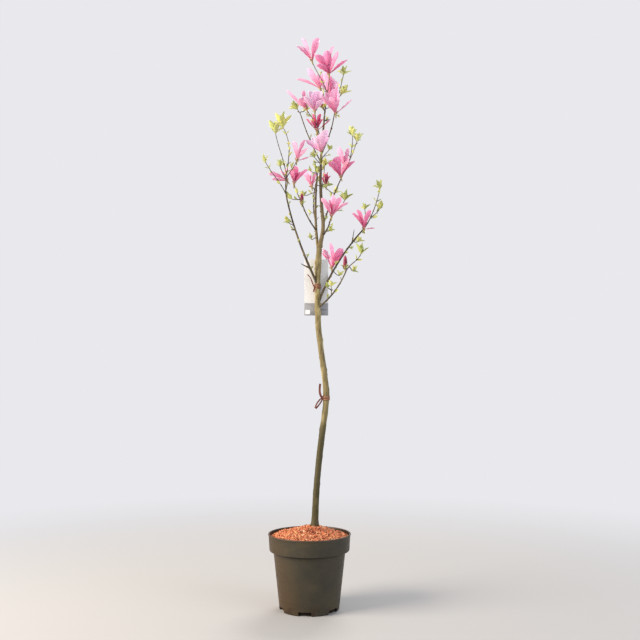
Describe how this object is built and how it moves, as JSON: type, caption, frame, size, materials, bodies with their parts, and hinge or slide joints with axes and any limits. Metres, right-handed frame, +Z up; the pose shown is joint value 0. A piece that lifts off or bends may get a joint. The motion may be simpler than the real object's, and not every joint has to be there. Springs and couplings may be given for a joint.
{
  "type": "potted magnolia tree",
  "caption": "Slender young magnolia in bloom: a crooked trunk with upright boughs, pink flowers and small new leaves, in a round nursery container, with strap ties and a plain card.",
  "frame": {"origin": "centre of the container's flat underside", "axes": "+Z up along the trunk, +X to the right and -Y towards the front, the side from which the card is seen behind the trunk"},
  "size_m": [0.4571, 0.4126, 2.1576],
  "materials": {
    "pot": "worn satin, dark olive grey, scuffed near the base",
    "growing_medium": "rough reddish bark chips over dark moist mix",
    "bark": "smooth matt olive-tan bark with leaf scars",
    "young_bark": "smooth satin olive-brown young bark",
    "foliage": "soft satin pink petals with yellow-green young leaves",
    "tie": "matt red-brown strap",
    "card": "smooth plain white card",
    "card_band": "smooth plain grey band"
  },
  "bodies": {
    "root": {"pot": "pot", "substrate": "growing_medium", "trunk": "bark", "stem_tie": "tie", "upper_tie": "tie", "card": "card", "card_band": "card_band", "central_leader": "young_bark", "left_leader": "young_bark", "left_bough": "young_bark", "right_bough": "young_bark", "right_low_bough": "young_bark", "left_inner_bough": "young_bark", "back_bough": "young_bark", "front_bough": "young_bark", "right_upper_bough": "young_bark", "top_left_bough": "young_bark", "top_right_bough": "young_bark", "left_spray": "foliage", "left_inner_spray": "foliage", "left_leader_spray": "foliage", "back_spray": "foliage", "top_spray": "foliage", "top_front_spray": "foliage", "top_right_spray": "foliage", "top_left_spray": "foliage", "right_upper_spray": "foliage", "right_spray": "foliage", "right_side_spray": "foliage", "right_low_spray": "foliage", "right_low_side_spray": "foliage", "right_inner_spray": "foliage", "front_spray": "foliage", "upper_front_spray": "foliage", "upper_back_spray": "foliage", "fork_left_spray": "foliage", "fork_right_spray": "foliage", "left_side_spray": "foliage"}
  },
  "joints": []
}
